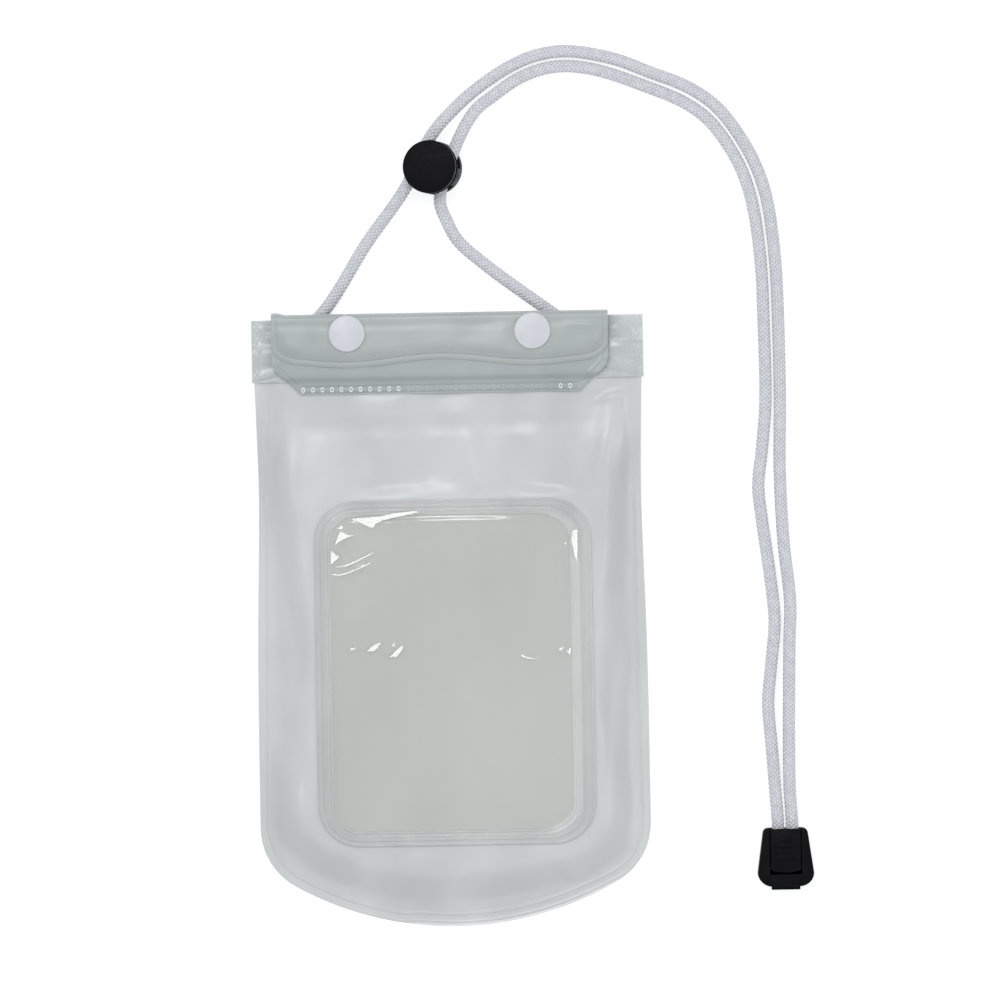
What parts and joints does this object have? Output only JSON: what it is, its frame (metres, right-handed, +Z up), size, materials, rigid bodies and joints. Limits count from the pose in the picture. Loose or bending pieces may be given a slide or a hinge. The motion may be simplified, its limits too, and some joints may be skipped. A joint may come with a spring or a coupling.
{
  "type": "waterproof phone case",
  "caption": "Flexible frosted pouch with clear windows, a press-seal mouth, a snap-down flap and a neck cord with a spring lock and a lidded cord end.",
  "frame": {"origin": "on the table, under the middle of the pouch's box (its neck cord and what is on the cord left out)", "axes": "+Y along the pouch towards its mouth, +X across it to the right seen from the front, +Z up out of its front"},
  "size_m": [0.1626, 0.2588, 0.0164],
  "materials": {
    "frosted_film": "frosted flexible sheet",
    "clear_film": "clear glossy film",
    "zip_plastic": "translucent extruded strip",
    "snap_plastic": "satin moulded",
    "cord_braid": "hollow braid",
    "black_plastic": "matte moulded",
    "spring_steel": "drawn wire"
  },
  "bodies": {
    "pouch": {"front_panel": "frosted_film", "back_panel": "frosted_film", "front_window": "clear_film", "back_window": "clear_film", "zip_strip_front": "zip_plastic", "zip_strip_back": "zip_plastic", "front_tab": "frosted_film", "closing_flap": "frosted_film", "cord_tunnel": "frosted_film", "snap_cap_left": "snap_plastic", "snap_cap_right": "snap_plastic", "snap_socket_left": "snap_plastic", "snap_socket_right": "snap_plastic", "snap_stud_left": "snap_plastic", "snap_stud_right": "snap_plastic", "snap_backing_left": "snap_plastic", "snap_backing_right": "snap_plastic", "neck_cord": "cord_braid", "lock_barrel": "black_plastic", "lock_spring": "spring_steel", "clip_base": "black_plastic"},
    "lock_button": {"lock_plunger": "black_plastic"},
    "cord_end_lid": {"clip_lid": "black_plastic"}
  },
  "joints": [
    {"name": "lock_button_press", "type": "slide", "parent": "pouch", "child": "lock_button", "axis": [0.1444, 0, -0.9895], "range_m": [0, 0.002], "stiffness_N_per_m": 300, "springref_m": -0.002, "deforming": ["lock_spring"]},
    {"name": "clip_lid_hinge", "type": "hinge", "parent": "pouch", "child": "cord_end_lid", "pos_m": [0.0969, -0.0746, 0.0056], "axis": [1, 0, 0], "range_deg": [0, 95]}
  ]
}
